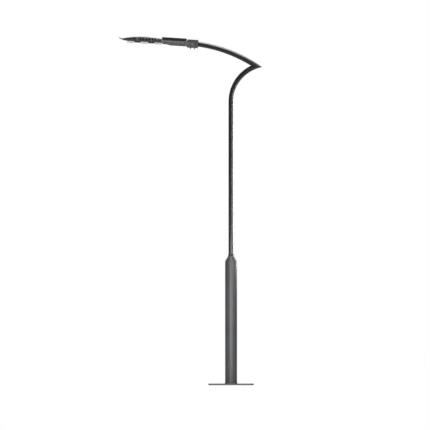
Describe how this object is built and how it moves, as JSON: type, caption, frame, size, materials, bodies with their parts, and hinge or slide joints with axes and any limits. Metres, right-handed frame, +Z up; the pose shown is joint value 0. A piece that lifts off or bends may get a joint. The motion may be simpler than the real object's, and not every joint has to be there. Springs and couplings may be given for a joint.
{
  "type": "street lamp post",
  "caption": "Stepped tubular street lamp post with a reversed swan-neck arm, a square base plate, a service door and a slim tilting LED luminaire.",
  "frame": {"origin": "centre of the base plate's underside, on the column's axis, where the post stands on its foundation", "axes": "+Z up along the column; the luminaire reaches out to -X; the service door faces +Y"},
  "size_m": [1.6743, 0.53, 4.0885],
  "materials": {
    "post_paint": "satin graphite-grey polyester powder coat over galvanised steel",
    "tube_paint": "gloss black powder coat",
    "plate_paint": "matt dark-grey coated steel",
    "galvanised": "hot-dip galvanised steel",
    "stainless": "plain stainless steel",
    "brass_part": "plain brass",
    "cast_grey": "die-cast aluminium, mid-grey powder coat",
    "cast_dark": "die-cast aluminium, dark-grey powder coat",
    "lid_dark": "die-cast aluminium, near-black powder coat",
    "diffuser": "opal acrylic diffuser",
    "board_white": "white solder-resist board with pale emitters",
    "rubber_black": "EPDM rubber",
    "cable_black": "black PVC sheath",
    "plastic_dark": "black glass-filled nylon",
    "plastic_ivory": "ivory melamine",
    "plastic_red": "red moulded plastic",
    "driver_case": "pale grey moulded case",
    "board_grp": "tan glass-reinforced laminate"
  },
  "bodies": {
    "post": {"base_plate": "plate_paint", "lower_post": "post_paint", "shoulder_cone": "post_paint", "centring_ring": "galvanised", "pole_tube": "tube_paint", "swan_neck": "tube_paint", "arm_tube": "tube_paint", "arm_spigot": "tube_paint", "door_frame": "post_paint", "door_gasket": "rubber_black", "post_hinge_leaves": "stainless", "door_hinge_pins": "stainless", "lock_strike": "galvanised", "backboard": "board_grp", "board_brackets": "galvanised", "board_screws": "stainless", "fuse_box": "plastic_dark", "box_gland": "plastic_dark", "supply_terminals": "plastic_ivory", "terminal_screws": "brass_part", "earth_stud": "brass_part", "earth_nut": "stainless", "riser_cable": "cable_black", "slip_fitter": "cast_grey", "fitter_cap": "cast_dark", "cap_screws": "stainless", "fitter_seal": "rubber_black", "clamp_bolts": "stainless", "tilt_bolts": "stainless", "tilt_washers": "stainless"},
    "door": {"access_door": "post_paint", "door_hinge_leaves": "stainless", "lock_barrel": "stainless"},
    "door_lock": {"lock_spindle": "brass_part"},
    "fuse_1": {"fuse_carrier_1": "plastic_ivory"},
    "fuse_2": {"fuse_carrier_2": "plastic_ivory"},
    "luminaire": {"gear_housing": "cast_grey", "bottom_pan": "cast_grey", "pan_screws": "stainless", "lid_gasket": "rubber_black", "lid_hinge_pin": "stainless", "driver": "driver_case", "driver_screws": "stainless", "surge_protector": "plastic_red", "lamp_terminals": "plastic_ivory", "lamp_gland": "plastic_dark", "lamp_cable": "cable_black", "front_frame": "cast_dark", "nose_cap": "cast_grey", "heat_sink_1": "cast_dark", "heat_sink_2": "cast_dark", "heat_sink_3": "cast_dark", "led_boards": "board_white", "light_panel_1": "diffuser", "light_panel_2": "diffuser", "light_panel_3": "diffuser", "panel_screws": "stainless"},
    "lid": {"gear_lid": "lid_dark"},
    "fastener_1": {"lid_fastener_1": "stainless"},
    "fastener_2": {"lid_fastener_2": "stainless"}
  },
  "joints": [
    {"name": "luminaire_tilt", "type": "hinge", "parent": "post", "child": "luminaire", "pos_m": [-0.455, 0, 3.998], "axis": [0, 1, 0], "range_deg": [-8.5, 6.5]},
    {"name": "lid_open", "type": "hinge", "parent": "luminaire", "child": "lid", "pos_m": [-0.52805, 0, 4.04855], "axis": [0, 1, 0], "range_deg": [0, 100]},
    {"name": "lid_fastener_1_turn", "type": "hinge", "parent": "lid", "child": "fastener_1", "pos_m": [-0.78478, 0.066, 4.07728], "axis": [0.061, 0, 0.9981], "range_deg": [0, 90]},
    {"name": "lid_fastener_2_turn", "type": "hinge", "parent": "lid", "child": "fastener_2", "pos_m": [-0.78478, -0.066, 4.07728], "axis": [0.061, 0, 0.9981], "range_deg": [-90, 0]},
    {"name": "door_open", "type": "hinge", "parent": "post", "child": "door", "pos_m": [-0.05178, 0.05474, 0.65], "axis": [0, 0, 1], "range_deg": [0, 110]},
    {"name": "door_lock_turn", "type": "hinge", "parent": "door", "child": "door_lock", "pos_m": [0.02, 0.06, 0.65], "axis": [0, 1, 0], "range_deg": [0, 90]},
    {"name": "fuse_1_pull", "type": "slide", "parent": "post", "child": "fuse_1", "axis": [0, 1, 0], "range_m": [0, 0.02]},
    {"name": "fuse_2_pull", "type": "slide", "parent": "post", "child": "fuse_2", "axis": [0, 1, 0], "range_m": [0, 0.02]}
  ]
}
